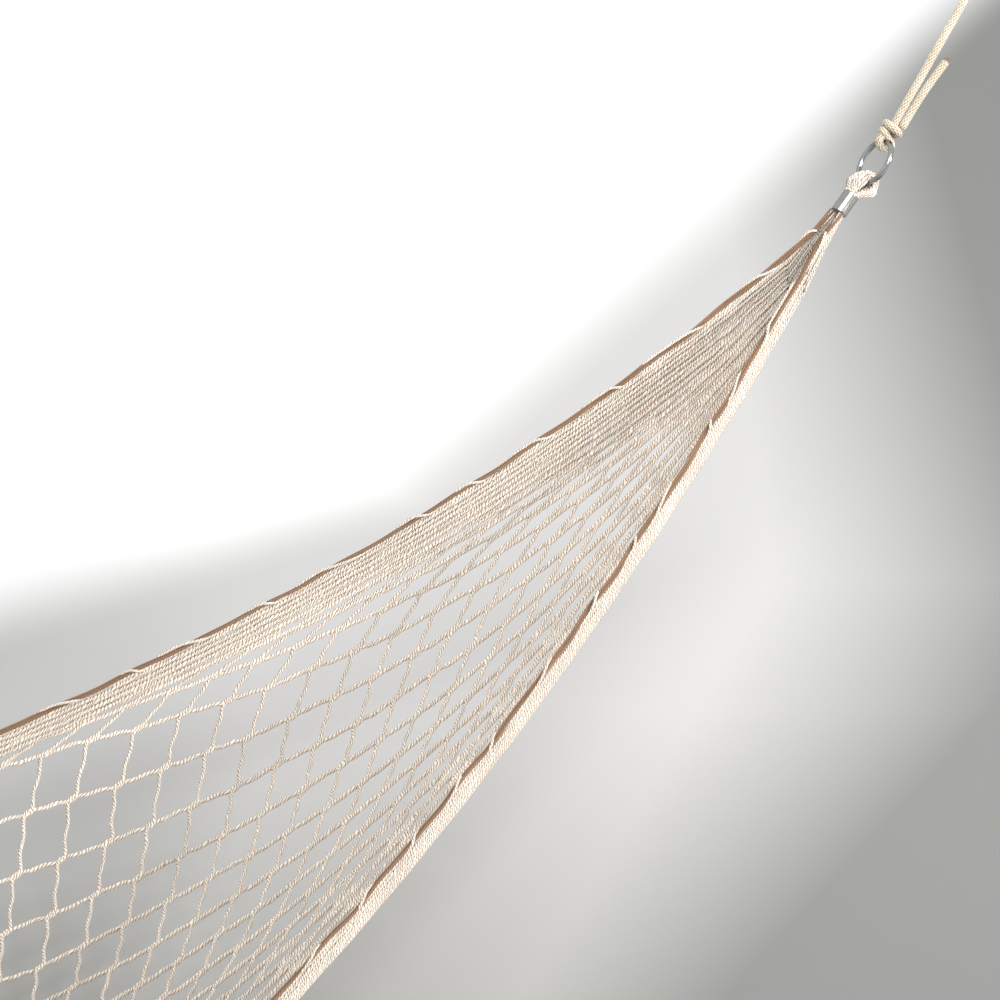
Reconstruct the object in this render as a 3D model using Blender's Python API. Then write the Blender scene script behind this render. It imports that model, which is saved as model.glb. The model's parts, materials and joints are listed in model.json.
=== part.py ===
"""A knotless net hammock: a net bed gathered at each end into a sleeve, looped over a steel ring and hung by a
knotted rope from a wall hook. Metres, +Z up. The origin is the middle of the right wall plate's back face."""

from math import cos, pi, radians, sin, sqrt

import bmesh
import bpy
from mathutils import Vector

GAP = 0.0004  # between pieces that touch in the real object

# Wall hook
PLATE_THICK = 0.003
PLATE_WIDE = 0.030
PLATE_TALL = 0.060
SCREW_HOLE_RADIUS = 0.0026
SCREW_SPACING = 0.040
HOOK_RADIUS = 0.003
HOOK_REACH = 0.028  # plate back to the middle of the upturned tip
HOOK_BEND = 0.008
HOOK_TIP = 0.020

# Rope
ROPE_RADIUS = 0.003
ROPE_SLOPE = radians(45.9)
SADDLE_TO_KNOT = 0.222
LOOP_RADIUS = HOOK_RADIUS + ROPE_RADIUS + GAP
LOOP_LENGTH = 0.034
LOOP_KNOT = (0.0095, 0.0085)  # half width, half length
LOOP_TAIL = 0.024
RING_KNOT = (0.0100, 0.0080)
RING_TAIL = 0.061
TAIL_SPREAD = 0.005  # how far the tail's tip stands off the rope, beyond touching it
TAIL_SIDE = Vector((0.42, -0.81, -0.41))  # the side of the rope the tail lies on

# Ring
RING_WIRE = 0.0022
RING_RADIUS = 0.0178  # to the middle of the wire
RING_SLOPE = radians(49)
RING_TURN = radians(-25)  # about its long axis, from lying level across the hammock
RING_TO_KNOT = 0.026

# Sleeve and eye
SLEEVE_SLOPE = radians(35.2)
SLEEVE_LENGTH = 0.018
SLEEVE_RADIUS = 0.0065
SLEEVE_BORE = 0.0055
MOUTH_TO_RING = 0.050
EYE_SIDES = 24
EYE_SHAPE = (  # distance up from the mouth, half size across the two lobes, half size along the ring's wire
    (0.0000, 0.0051, 0.0051),
    (0.0184, 0.0051, 0.0051),
    (0.0192, 0.0068, 0.0062),
    (0.0240, 0.0098, 0.0080),
    (0.0300, 0.0115, 0.0090),
    (0.0350, 0.0112, 0.0088),
    (0.0385, 0.0088, 0.0078),
    (0.0405, 0.0055, 0.0060),
    (0.0414, 0.0020, 0.0030),
)
RING_CLEARANCE = 0.0005

# Net bed
HALF_BED = 1.0  # mouth to the middle
RIM_SAG = 0.232
RIM_SAG_POWER = 2.4
RIM_SPREAD = 0.244  # half width gained per metre near a mouth
MOUTH_HALF_WIDTH = 0.0052
MOUTH_DEPTH = 0.005
BELLY_DEPTH = 0.090
BELLY_POWER = 0.42
MOUTH_TURN_LENGTH = 0.06  # over which the cross-section turns from the sleeve's face to upright
NET_THICK = 0.004
STATIONS_PER_HALF = 22
BED_STEPS = 16  # round the belly
SELVEDGE_RADIUS = 0.0018

UP_ROPE = Vector((cos(ROPE_SLOPE), 0, sin(ROPE_SLOPE)))
SADDLE = Vector((-HOOK_REACH + HOOK_BEND * (1 - sqrt(0.5)), 0, HOOK_BEND * (1 - sqrt(0.5))))
RING_AXIS = Vector((cos(RING_SLOPE), 0, sin(RING_SLOPE)))
RING_ACROSS = Vector((0, 1, 0)) * cos(RING_TURN) + RING_AXIS.cross(Vector((0, 1, 0))) * sin(RING_TURN)
RING_NORMAL = RING_AXIS.cross(RING_ACROSS)
KNOT = SADDLE - UP_ROPE * SADDLE_TO_KNOT
RING_CENTRE = KNOT - RING_AXIS * RING_TO_KNOT
SLEEVE_AXIS = Vector((cos(SLEEVE_SLOPE), 0, sin(SLEEVE_SLOPE)))
MOUTH = RING_CENTRE - SLEEVE_AXIS * MOUTH_TO_RING
MIDDLE = MOUTH.x - HALF_BED
SIDES = {"right": 1, "left": -1}


def clear_scene():
    for obj in list(bpy.data.objects):
        bpy.data.objects.remove(obj, do_unlink=True)


def make_material(name, colour, metallic, roughness):
    material = bpy.data.materials.new(name)
    material.use_nodes = True
    shader = material.node_tree.nodes["Principled BSDF"]
    shader.inputs["Base Color"].default_value = (*colour, 1)
    shader.inputs["Metallic"].default_value = metallic
    shader.inputs["Roughness"].default_value = roughness
    return material


def at_end(side, point):
    """A point drawn for the right end, moved to the end that is wanted."""
    if side > 0:
        return Vector(point)
    return Vector((2 * MIDDLE - point[0], point[1], point[2]))


def mesh_object(name, points, faces, material, smooth=True):
    mesh = bpy.data.meshes.new(name)
    mesh.from_pydata([tuple(point) for point in points], [], faces)
    body = bmesh.new()
    body.from_mesh(mesh)
    bmesh.ops.recalc_face_normals(body, faces=body.faces)
    body.to_mesh(mesh)
    body.free()
    mesh.shade_smooth() if smooth else mesh.shade_flat()
    mesh.materials.append(material)
    obj = bpy.data.objects.new(name, mesh)
    bpy.context.scene.collection.objects.link(obj)
    return obj


def rings_to_tube(rings, close=False):
    """Points and faces of a skin through rings of equal length, capped at both ends or closed on itself."""
    count = len(rings[0])
    points = [point for ring in rings for point in ring]
    faces = []
    for row in range(len(rings) if close else len(rings) - 1):
        first = row * count
        second = (row + 1) % len(rings) * count
        for i in range(count):
            j = (i + 1) % count
            faces.append((first + i, first + j, second + j, second + i))
    if not close:
        faces.append(tuple(range(count)))
        faces.append(tuple(len(points) - 1 - i for i in range(count)))
    return points, faces


def circle(centre, across, along, radius, sides):
    turns = [2 * pi * i / sides for i in range(sides)]
    return [centre + across * radius * cos(turn) + along * radius * sin(turn) for turn in turns]


def cord(name, points, radius, material, resolution=2):
    curve = bpy.data.curves.new(name, "CURVE")
    curve.dimensions = "3D"
    curve.bevel_depth = radius
    curve.bevel_resolution = resolution
    curve.use_fill_caps = True
    spline = curve.splines.new("POLY")
    spline.points.add(len(points) - 1)
    for knot, point in zip(spline.points, points):
        knot.co = (*point, 1)
    curve.materials.append(material)
    obj = bpy.data.objects.new(name, curve)
    bpy.context.scene.collection.objects.link(obj)
    return obj


def boolean(obj, other, operation):
    other.hide_render = True
    other.display_type = "WIRE"
    modifier = obj.modifiers.new(operation.title(), "BOOLEAN")
    modifier.operation = operation
    modifier.solver = "EXACT"
    modifier.object = other


# Wall hook


def box_points(low, high):
    return [Vector((x, y, z)) for x in (low[0], high[0]) for y in (low[1], high[1]) for z in (low[2], high[2])]


BOX_FACES = [(0, 1, 3, 2), (4, 6, 7, 5), (0, 4, 5, 1), (2, 3, 7, 6), (0, 2, 6, 4), (1, 5, 7, 3)]


def hook_wire_route():
    bend_centre = Vector((-HOOK_REACH + HOOK_BEND, 0, HOOK_BEND))
    route = [Vector((-PLATE_THICK / 2, 0, 0))]
    for step in range(7):
        turn = pi / 2 * step / 6
        route.append(bend_centre + Vector((-sin(turn), 0, -cos(turn))) * HOOK_BEND)
    route.append(Vector((-HOOK_REACH, 0, HOOK_TIP - HOOK_RADIUS / 2)))
    return route


def hook_wire_rings(side):
    """The round wire of the hook, narrowed at its tip."""
    route = hook_wire_route()
    rings = []
    for i, point in enumerate(route):
        before = route[max(i - 1, 0)]
        after = route[min(i + 1, len(route) - 1)]
        outward = (after - before).normalized().cross(Vector((0, 1, 0)))
        rings.append([at_end(side, p) for p in circle(point, outward, Vector((0, 1, 0)), HOOK_RADIUS, 16)])
    tip = route[-1] + Vector((0, 0, HOOK_RADIUS / 2))
    rings.append([at_end(side, p) for p in circle(tip, outward, Vector((0, 1, 0)), HOOK_RADIUS * 0.6, 16)])
    return rings


def build_hook(name, side, steel):
    low = (-PLATE_THICK, -PLATE_WIDE / 2, -PLATE_TALL / 2)
    high = (0, PLATE_WIDE / 2, PLATE_TALL / 2)
    corners = [at_end(side, point) for point in box_points(low, high)]
    plate = mesh_object(f"hook_plate_{name}", corners, BOX_FACES, steel, smooth=False)
    for level in (-SCREW_SPACING / 2, SCREW_SPACING / 2):
        ends = [Vector((x, 0, level)) for x in (-2 * PLATE_THICK, PLATE_THICK)]
        rings = [circle(end, Vector((0, 1, 0)), Vector((0, 0, 1)), SCREW_HOLE_RADIUS, 16) for end in ends]
        rings = [[at_end(side, point) for point in ring] for ring in rings]
        boolean(plate, mesh_object(f"hole_cutter_{name}", *rings_to_tube(rings), steel), "DIFFERENCE")
    wire = mesh_object(f"hook_wire_{name}", *rings_to_tube(hook_wire_rings(side)), steel)
    boolean(plate, wire, "UNION")


# Rope and knots


def build_knot(name, side, base, axis, half_width, half_length, material):
    """A rounded knot with a flat underside, standing on base and rising along axis."""
    across = Vector((0, 1, 0))
    along = axis.cross(across)
    floor = -0.85
    rings = []
    for step in range(9):
        height = floor + (0.98 - floor) * sin(pi / 2 * step / 8)
        width = half_width * sqrt(1 - height * height)
        rings.append(circle(base + axis * (height - floor) * half_length, across, along, width, 20))
    rings = [[at_end(side, point) for point in ring] for ring in rings]
    mesh_object(name, *rings_to_tube(rings), material)
    return base + axis * (0.98 - floor) * half_length


def u_route(crown_centre, outward, across, radius, leg_end):
    """A loop whose crown lies outward of crown_centre and whose legs close in to the two points of leg_end."""
    arc = []
    for step in range(13):
        turn = pi * step / 12
        arc.append(crown_centre + across * radius * cos(turn) + outward * radius * sin(turn))
    return [leg_end[0], *arc, leg_end[1]]


def build_ring_rope(name, side, rope):
    """Bight round the ring, knot, standing rope, hanging loop and both free ends."""
    ring_top = RING_CENTRE + RING_AXIS * RING_RADIUS
    knot_base = ring_top + RING_AXIS * (RING_WIRE + GAP)
    bight_radius = RING_WIRE + ROPE_RADIUS + GAP
    leg_ends = [knot_base + RING_NORMAL * bight_radius * way - RING_AXIS * GAP for way in (1, -1)]
    route = u_route(ring_top, -RING_AXIS, RING_NORMAL, bight_radius, leg_ends)
    cord(f"ring_bight_{name}", [at_end(side, p) for p in route], ROPE_RADIUS, rope)
    knot_top = build_knot(f"ring_knot_{name}", side, knot_base, RING_AXIS, *RING_KNOT, rope)

    pull = (SADDLE - knot_top).normalized()
    across = Vector((0, 1, 0))
    loop_foot = SADDLE - pull * LOOP_LENGTH
    loop_leg = ROPE_RADIUS + GAP
    leg_ends = [loop_foot + across * loop_leg * way for way in (1, -1)]
    route = u_route(SADDLE, pull, across, LOOP_RADIUS, leg_ends)
    cord(f"hang_loop_{name}", [at_end(side, p) for p in route], ROPE_RADIUS, rope)
    loop_knot_base = loop_foot - pull * GAP
    loop_knot_end = build_knot(f"loop_knot_{name}", side, loop_knot_base, -pull, *LOOP_KNOT, rope)

    steps = 10
    start = knot_top + pull * GAP
    end = loop_knot_end - pull * GAP
    route = [start.lerp(end, step / steps) for step in range(steps + 1)]
    cord(f"rope_{name}", [at_end(side, p) for p in route], ROPE_RADIUS, rope)

    beside = (TAIL_SIDE - pull * TAIL_SIDE.dot(pull)).normalized()
    foot = start + beside * (2 * ROPE_RADIUS + GAP)
    route = [foot + pull * RING_TAIL * t + beside * TAIL_SPREAD * t * t for t in (0, 0.2, 0.4, 0.6, 0.8, 1)]
    cord(f"ring_tail_{name}", [at_end(side, p) for p in route], ROPE_RADIUS, rope)
    foot = end - beside * (2 * ROPE_RADIUS + GAP)
    route = [foot - pull * LOOP_TAIL * t - beside * TAIL_SPREAD * t * t for t in (0, 0.5, 1)]
    cord(f"loop_tail_{name}", [at_end(side, p) for p in route], ROPE_RADIUS, rope)


# Ring, sleeve and eye


def torus_rings(side, wire_radius, steps, sides):
    rings = []
    for step in range(steps):
        turn = 2 * pi * step / steps
        outward = RING_AXIS * cos(turn) + RING_ACROSS * sin(turn)
        centre = RING_CENTRE + outward * RING_RADIUS
        rings.append([at_end(side, p) for p in circle(centre, outward, RING_NORMAL, wire_radius, sides)])
    return rings


def build_ring(name, side, steel):
    mesh_object(f"ring_{name}", *rings_to_tube(torus_rings(side, RING_WIRE, 48, 12), close=True), steel)


def build_sleeve(name, side, steel):
    across = Vector((0, 1, 0))
    up = SLEEVE_AXIS.cross(across)
    section = ((0, SLEEVE_BORE), (0, SLEEVE_RADIUS), (SLEEVE_LENGTH, SLEEVE_RADIUS), (SLEEVE_LENGTH, SLEEVE_BORE))
    rings = [circle(MOUTH + SLEEVE_AXIS * height, across, up, radius, 32) for height, radius in section]
    rings = [[at_end(side, point) for point in ring] for ring in rings]
    sleeve = mesh_object(f"sleeve_{name}", *rings_to_tube(rings, close=True), steel)
    for polygon in sleeve.data.polygons:
        normal = polygon.normal
        polygon.use_smooth = abs(normal.dot(at_end(side, SLEEVE_AXIS) - at_end(side, (0, 0, 0)))) < 0.5


def build_eye(name, side, net):
    """The net's end cords as one pear-shaped body, with a round way through it for the ring's wire."""
    lobes = (RING_NORMAL - SLEEVE_AXIS * RING_NORMAL.dot(SLEEVE_AXIS)).normalized()
    along = SLEEVE_AXIS.cross(lobes)
    contact = -(SLEEVE_AXIS - RING_NORMAL * RING_NORMAL.dot(SLEEVE_AXIS)).normalized() * RING_RADIUS
    aside = contact + RING_CENTRE - MOUTH
    aside -= SLEEVE_AXIS * aside.dot(SLEEVE_AXIS)
    rings = []
    for height, half_lobes, half_along in EYE_SHAPE:
        lean = min(max((height - SLEEVE_LENGTH) / (MOUTH_TO_RING - RING_RADIUS - SLEEVE_LENGTH), 0), 1)
        centre = MOUTH + SLEEVE_AXIS * height + aside * lean
        rings.append([at_end(side, point) for point in circle_oval(centre, lobes * half_lobes, along * half_along)])
    eye = mesh_object(f"eye_{name}", *rings_to_tube(rings), net)
    way = rings_to_tube(torus_rings(side, RING_WIRE + RING_CLEARANCE, 48, 12), close=True)
    boolean(eye, mesh_object(f"eye_cutter_{name}", *way, net), "DIFFERENCE")


def circle_oval(centre, half_one, half_two):
    turns = [2 * pi * i / EYE_SIDES for i in range(EYE_SIDES)]
    return [centre + half_one * cos(turn) + half_two * sin(turn) for turn in turns]


# Net bed and its selvedges


def rim_half_width(away):
    spread = RIM_SPREAD * away * (1 - (away / HALF_BED) ** 8 / 9)
    return sqrt(MOUTH_HALF_WIDTH**2 + spread**2)


def rim_height(away):
    return -RIM_SAG * (1 - max(1 - away / HALF_BED, 0) ** RIM_SAG_POWER)


def belly_depth(away):
    return MOUTH_DEPTH + BELLY_DEPTH * sin(pi / 2 * away / HALF_BED) ** BELLY_POWER


def bed_point(away, across, above):
    """A point of the cross-section that lies this far from the mouth: across it, and above its rim."""
    turn = SLEEVE_SLOPE * max(0, 1 - away / MOUTH_TURN_LENGTH) ** 2
    foot = MOUTH + Vector((-away, 0, rim_height(away)))
    return foot + Vector((-sin(turn), 0, cos(turn))) * above + Vector((0, across, 0))


def stations():
    """Distances from the mouth, closer together near it."""
    return [GAP + (HALF_BED - GAP) * (step / STATIONS_PER_HALF) ** 1.7 for step in range(STATIONS_PER_HALF + 1)]


def whole_length(function):
    """What function(away) gives from the right mouth to the left one."""
    right = [function(1, away) for away in stations()]
    left = [function(-1, away) for away in reversed(stations()[:-1])]
    return right + left


def bed_section(side, away):
    half_width = rim_half_width(away)
    depth = belly_depth(away)
    thick = min(NET_THICK, 0.6 * half_width, 0.6 * depth)
    outer = []
    inner = []
    for step in range(BED_STEPS + 1):
        turn = pi * (step / BED_STEPS - 0.5)
        outer.append(bed_point(away, half_width * sin(turn), -depth * cos(turn)))
        inner.append(bed_point(away, (half_width - thick) * sin(turn), -(depth - thick) * cos(turn)))
    return [at_end(side, point) for point in outer + inner[::-1]]


def build_bed(net):
    mesh_object("net_bed", *rings_to_tube(whole_length(bed_section)), net)


def selvedge_point(side, away, way):
    half_width = rim_half_width(away)
    thick = min(NET_THICK, 0.6 * half_width)
    return at_end(side, bed_point(away, way * (half_width - thick / 2), SELVEDGE_RADIUS + GAP))


def build_selvedge(name, way, brown):
    route = whole_length(lambda side, away: selvedge_point(side, away, way))
    cord(f"selvedge_{name}", route, SELVEDGE_RADIUS, brown)


clear_scene()
rope_material = make_material("rope_cream", (0.80, 0.70, 0.52), 0, 0.8)
net_material = make_material("net_cord", (0.85, 0.76, 0.60), 0, 0.85)
brown_material = make_material("selvedge_brown", (0.38, 0.24, 0.15), 0, 0.8)
ring_material = make_material("polished_steel", (0.72, 0.73, 0.74), 1, 0.12)
sleeve_material = make_material("crimped_aluminium", (0.78, 0.78, 0.77), 1, 0.25)
hook_material = make_material("zinc_steel", (0.60, 0.61, 0.62), 1, 0.35)

build_bed(net_material)
build_selvedge("near", -1, brown_material)
build_selvedge("far", 1, brown_material)
for end_name, end_side in SIDES.items():
    build_hook(end_name, end_side, hook_material)
    build_ring_rope(end_name, end_side, rope_material)
    build_ring(end_name, end_side, ring_material)
    build_sleeve(end_name, end_side, sleeve_material)
    build_eye(end_name, end_side, net_material)
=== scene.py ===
"""The rope hammock's looks: net, selvedges, ropes, rings, sleeves and hooks, built round the frame."""

import json
from math import cos, pi, radians, sin, sqrt

import bpy
import numpy as np
from mathutils import Matrix, Vector


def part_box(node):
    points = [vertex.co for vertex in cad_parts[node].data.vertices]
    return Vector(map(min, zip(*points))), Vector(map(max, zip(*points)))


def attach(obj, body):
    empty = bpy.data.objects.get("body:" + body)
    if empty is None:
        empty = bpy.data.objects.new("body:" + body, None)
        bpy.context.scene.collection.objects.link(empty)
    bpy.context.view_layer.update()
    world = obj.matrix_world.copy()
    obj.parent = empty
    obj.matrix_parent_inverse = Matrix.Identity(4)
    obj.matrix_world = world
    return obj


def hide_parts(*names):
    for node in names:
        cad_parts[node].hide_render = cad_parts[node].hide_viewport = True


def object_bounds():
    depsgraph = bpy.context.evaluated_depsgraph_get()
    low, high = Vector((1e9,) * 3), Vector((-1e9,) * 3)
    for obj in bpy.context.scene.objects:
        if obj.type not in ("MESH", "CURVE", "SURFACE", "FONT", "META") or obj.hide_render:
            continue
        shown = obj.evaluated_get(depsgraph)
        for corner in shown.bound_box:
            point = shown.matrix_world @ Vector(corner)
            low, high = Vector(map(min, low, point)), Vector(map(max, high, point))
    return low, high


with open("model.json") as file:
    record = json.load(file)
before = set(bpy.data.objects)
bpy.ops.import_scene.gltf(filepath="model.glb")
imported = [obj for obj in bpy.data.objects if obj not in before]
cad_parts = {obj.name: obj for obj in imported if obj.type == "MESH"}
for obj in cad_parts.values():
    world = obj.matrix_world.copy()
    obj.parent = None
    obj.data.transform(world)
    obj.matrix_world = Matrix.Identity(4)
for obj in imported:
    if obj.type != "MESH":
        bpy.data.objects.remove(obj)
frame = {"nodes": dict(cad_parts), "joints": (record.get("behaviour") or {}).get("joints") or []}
cad_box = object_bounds()
random = np.random.default_rng(7)

JOINTS = {joint["name"]: joint for joint in frame["joints"]}
ENDS = {"right": 1, "left": -1}
Y = np.array([0.0, 1.0, 0.0])
Z = np.array([0.0, 0.0, 1.0])
GAP = 0.0004  # between surfaces that touch


def unit(vector):
    return vector / np.linalg.norm(vector, axis=-1, keepdims=True)


def in_plane(slope):
    """The unit vector at this slope, in degrees, in the upright plane along the hammock."""
    return np.array([cos(radians(slope)), 0, sin(radians(slope))])


# Places taken from the frame, all at the right end; the left end mirrors them.
RING_CENTRE = np.array(JOINTS["ring_spin_right"]["pos_m"], float)
RING_NORMAL = unit(np.array(JOINTS["ring_spin_right"]["axis"], float))
SADDLE = np.array(JOINTS["sway"]["pos_m"], float)
MIDDLE = float(np.mean([corner[0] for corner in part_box("net_bed")]))
RING_SLOPE = 49
RING_AXIS = in_plane(RING_SLOPE)
RING_ACROSS = np.cross(RING_NORMAL, RING_AXIS)
RING_RADIUS = 0.0178
RING_WIRE = 0.0022
SLEEVE_SLOPE = 35.2
SLEEVE_AXIS = in_plane(SLEEVE_SLOPE)
SLEEVE_LENGTH = 0.018
SLEEVE_RADIUS = 0.0065
SLEEVE_BORE = 0.0055
MOUTH_TO_RING = 0.050
MOUTH = RING_CENTRE - SLEEVE_AXIS * MOUTH_TO_RING
SLEEVE_UP = np.cross(SLEEVE_AXIS, Y)
HALF_BED = MOUTH[0] - MIDDLE

# The bed's shape, as in the solid model
RIM_SAG = 0.232
RIM_SAG_POWER = 2.4
RIM_SPREAD = 0.244
RIM_ROUNDING = 8  # the power that turns the rims parallel at the bed's middle
MOUTH_HALF_WIDTH = 0.0052
MOUTH_DEPTH = 0.005
BELLY_DEPTH = 0.090
BELLY_POWER = 0.42
MOUTH_TURN_LENGTH = 0.06
SELVEDGE_RADIUS = 0.0018

# The net
ROWS = 61  # steps along the bed, with a row of joints between each two
FIRST_ROW = 0.017  # where the first step starts, from the mouth
CELLS = 30
RISING_RADIUS = 0.00162  # cords on their way to the far rim
FALLING_RADIUS = 0.00125  # cords on their way back
CORD_RADIUS = 0.0014
MOUTH_THINNING = 0.42  # the share of its thickness that a cord keeps in the sleeves
THINNING_LENGTH = 0.12
CLOSED_CELL = 0.0041
JUNCTION = 0.0095  # length over which two cords run together
LEAN = 0.45  # how far a joint turns into line with its rising bars
JOINT_SIDE = 0.8 * CORD_RADIUS  # from a joint's middle to each of its two cords
BAR_SHARES = (0.36, 0.64)  # where a bar between two joints has its points
BAR_BOW = 0.0004

# How the cords lie over each other, in cord radii in from the surface
MIDDLE_LAYER = 1.5
OVER_IN_OPEN_NET = 0.15
OVER_IN_CLOSED_NET = 0.5
CLOSED_BELOW = 0.22  # the openness at which a cell begins to count as closed
CLOSED_MOUTH = 0.25  # the distance from a mouth over which all cells do
CROWDED_LAYER = 1.1
CROWDED_AS_FAR_AS = 0.03
CROWD_FADE = 0.13

# The bundle of cords in a sleeve
BUNDLE_RINGS = (0.0046, 0.0033, 0.0046, 0.0017)
BUNDLE_SWEEP = 1.5  # half turns
BUNDLE_START = -0.25  # half turns
BUNDLE_DEPTHS = (0.009, 0.001)

# The edges
SELVEDGE_STRAND = 0.00105
STRAND_OFFSET = 0.00095
LASHING_RADIUS = 0.0010
LASHING_TURN = 0.056
LASHING_STEPS = 24  # in each turn
LASHING_DRIFT = 0.4  # turns
LASHING_START = -0.75 * pi
LASHING_INSET = 0.02
SELVEDGE_WAVES = ((0.0006, 0.041, 1), (0.0005, 0.027, 2))  # size, half length and phase of each
SELVEDGE_ROLL = 0.5
SELVEDGE_ROLL_RATE = 9

ROPE_RADIUS = 0.003


def mirrored(points, side):
    """Points drawn for the right end, at the end that is wanted."""
    if side > 0:
        return points
    return points * [-1, 1, 1] + [2 * MIDDLE, 0, 0]


# Meshes


NEVER_AHEAD = [0.31, 0.17, 0.94]  # a direction in which no path starts


def transported(tangents):
    """One normal per point of each path, turned as little as possible from one point to the next."""
    normals = np.empty_like(tangents)
    normals[:, 0] = unit(np.cross(tangents[:, 0], NEVER_AHEAD))
    for i in range(1, tangents.shape[1]):
        along = tangents[:, i]
        before = normals[:, i - 1]
        normals[:, i] = unit(before - along * np.sum(before * along, axis=-1, keepdims=True))
    return normals


def mesh_object(name, points, faces, material, uv=None, values=None):
    """A smooth mesh from point and face arrays; faces is a list of arrays with equal-sided faces in each."""
    mesh = bpy.data.meshes.new(name)
    corners = np.concatenate([group.ravel() for group in faces])
    totals = np.concatenate([np.full(len(group), group.shape[1]) for group in faces])
    starts = np.concatenate([[0], np.cumsum(totals)[:-1]])
    mesh.vertices.add(len(points))
    mesh.vertices.foreach_set("co", np.asarray(points, np.float32).ravel())
    mesh.loops.add(len(corners))
    mesh.loops.foreach_set("vertex_index", corners.astype(np.int32))
    mesh.polygons.add(len(totals))
    mesh.polygons.foreach_set("loop_start", starts.astype(np.int32))
    mesh.update(calc_edges=True)
    if uv is not None:
        layer = mesh.uv_layers.new(name="cord")
        layer.uv.foreach_set("vector", np.asarray(uv, np.float32).ravel())
    for key, value in (values or {}).items():
        attribute = mesh.attributes.new(key, "FLOAT", "POINT")
        attribute.data.foreach_set("value", np.asarray(value, np.float32).ravel())
    mesh.shade_smooth()
    mesh.materials.append(material)
    obj = bpy.data.objects.new(name, mesh)
    bpy.context.scene.collection.objects.link(obj)
    return obj


def tubes(name, paths, radius, sides, material, relief=None, tint=None):
    """Tubes along paths (tubes, points, 3); the radius broadcasts to (tubes, points, sides)."""
    paths = np.asarray(paths, float)
    count, length = paths.shape[:2]
    tangents = unit(np.gradient(paths, axis=1))
    normals = transported(tangents)
    binormals = np.cross(tangents, normals)
    turns = np.linspace(0, 2 * pi, sides, endpoint=False)
    outward = normals[:, :, None] * np.cos(turns)[:, None] + binormals[:, :, None] * np.sin(turns)[:, None]
    steps = np.linalg.norm(np.diff(paths, axis=1), axis=-1)
    along = np.concatenate([np.zeros((count, 1)), np.cumsum(steps, axis=1)], axis=1)
    height = np.zeros((count, length, sides)) if relief is None else relief(along[:, :, None], turns)
    wide = np.broadcast_to(np.asarray(radius, float), (count, length, sides)) * (1 + height)
    points = paths[:, :, None] + outward * wide[..., None]
    index = np.arange(count * length * sides).reshape(count, length, sides)
    low = index[:, :-1]
    high = index[:, 1:]
    quads = np.stack([low, np.roll(low, -1, 2), np.roll(high, -1, 2), high], -1).reshape(-1, 4)
    caps = np.concatenate([index[:, 0, ::-1], index[:, -1]])
    around = np.broadcast_to(np.arange(sides) / sides, low.shape)
    step = 1 / sides
    start = np.broadcast_to(along[:, :-1, None], low.shape)
    stop = np.broadcast_to(along[:, 1:, None], low.shape)
    uv_quads = np.stack([around, start, around + step, start, around + step, stop, around, stop], -1)
    uv = np.concatenate([uv_quads.reshape(-1, 2), np.zeros((caps.size, 2))])
    shade = random.random(count) if tint is None else np.full(count, tint)
    values = {"tint": np.repeat(shade, length * sides), "relief": height}
    return mesh_object(name, points.reshape(-1, 3), [quads, caps], material, uv, values)


def smooth_path(knots, per_span):
    """Catmull-Rom through knots (tubes, points, 3), with per_span points in each span."""
    knots = np.asarray(knots, float)
    first = 2 * knots[:, :1] - knots[:, 1:2]
    last = 2 * knots[:, -1:] - knots[:, -2:-1]
    k = np.concatenate([first, knots, last], axis=1)
    a, b, c, d = k[:, :-3], k[:, 1:-2], k[:, 2:-1], k[:, 3:]
    parts = []
    for t in np.arange(per_span) / per_span:
        parts.append(
            0.5 * (2 * b + (c - a) * t + (2 * a - 5 * b + 4 * c - d) * t**2 + (3 * b - a - 3 * c + d) * t**3)
        )
    path = np.stack(parts, axis=2).reshape(len(knots), -1, 3)
    return np.concatenate([path, knots[:, -1:]], axis=1)


def even_path(points, spacing):
    """One path resampled to even spacing."""
    points = np.asarray(points, float)
    along = np.concatenate([[0], np.cumsum(np.linalg.norm(np.diff(points, axis=0), axis=1))])
    where = np.linspace(0, along[-1], max(int(along[-1] / spacing), 2) + 1)
    return np.stack([np.interp(where, along, points[:, i]) for i in range(3)], axis=1)


def lathe(name, side, centre, axis, section, sides, material, shape):
    """A ring turned round an axis from a closed outline of (height, radius); shape scales the radius."""
    up = np.cross(axis, Y)
    turns = np.linspace(0, 2 * pi, sides, endpoint=False)
    heights, radii = np.array(section).T
    wide = radii[:, None] * shape(heights[:, None], turns)
    outward = Y * np.cos(turns)[:, None] + up * np.sin(turns)[:, None]
    points = centre + axis * heights[:, None, None] + outward[None] * wide[..., None]
    points = mirrored(points.reshape(-1, 3), side)
    index = np.arange(len(section) * sides).reshape(len(section), sides)
    after = np.roll(index, -1, 0)
    quads = np.stack([index, np.roll(index, -1, 1), np.roll(after, -1, 1), after], -1).reshape(-1, 4)
    return mesh_object(name, points, [quads if side > 0 else quads[:, ::-1]], material)


# Materials


def new_material(name, roughness, metallic=0.0):
    material = bpy.data.materials.new(name)
    material.use_nodes = True
    shader = material.node_tree.nodes["Principled BSDF"]
    shader.inputs["Roughness"].default_value = roughness
    shader.inputs["Metallic"].default_value = metallic
    return material, material.node_tree, shader


def node(tree, kind, **settings):
    made = tree.nodes.new(kind)
    for key, value in settings.items():
        setattr(made, key, value)
    return made


def math(tree, operation, first, second=None):
    made = node(tree, "ShaderNodeMath", operation=operation)
    for socket, value in zip(made.inputs, (first, second)):
        if value is None:
            continue
        if isinstance(value, (int, float)):
            socket.default_value = value
        else:
            tree.links.new(value, socket)
    return made.outputs[0]


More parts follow.
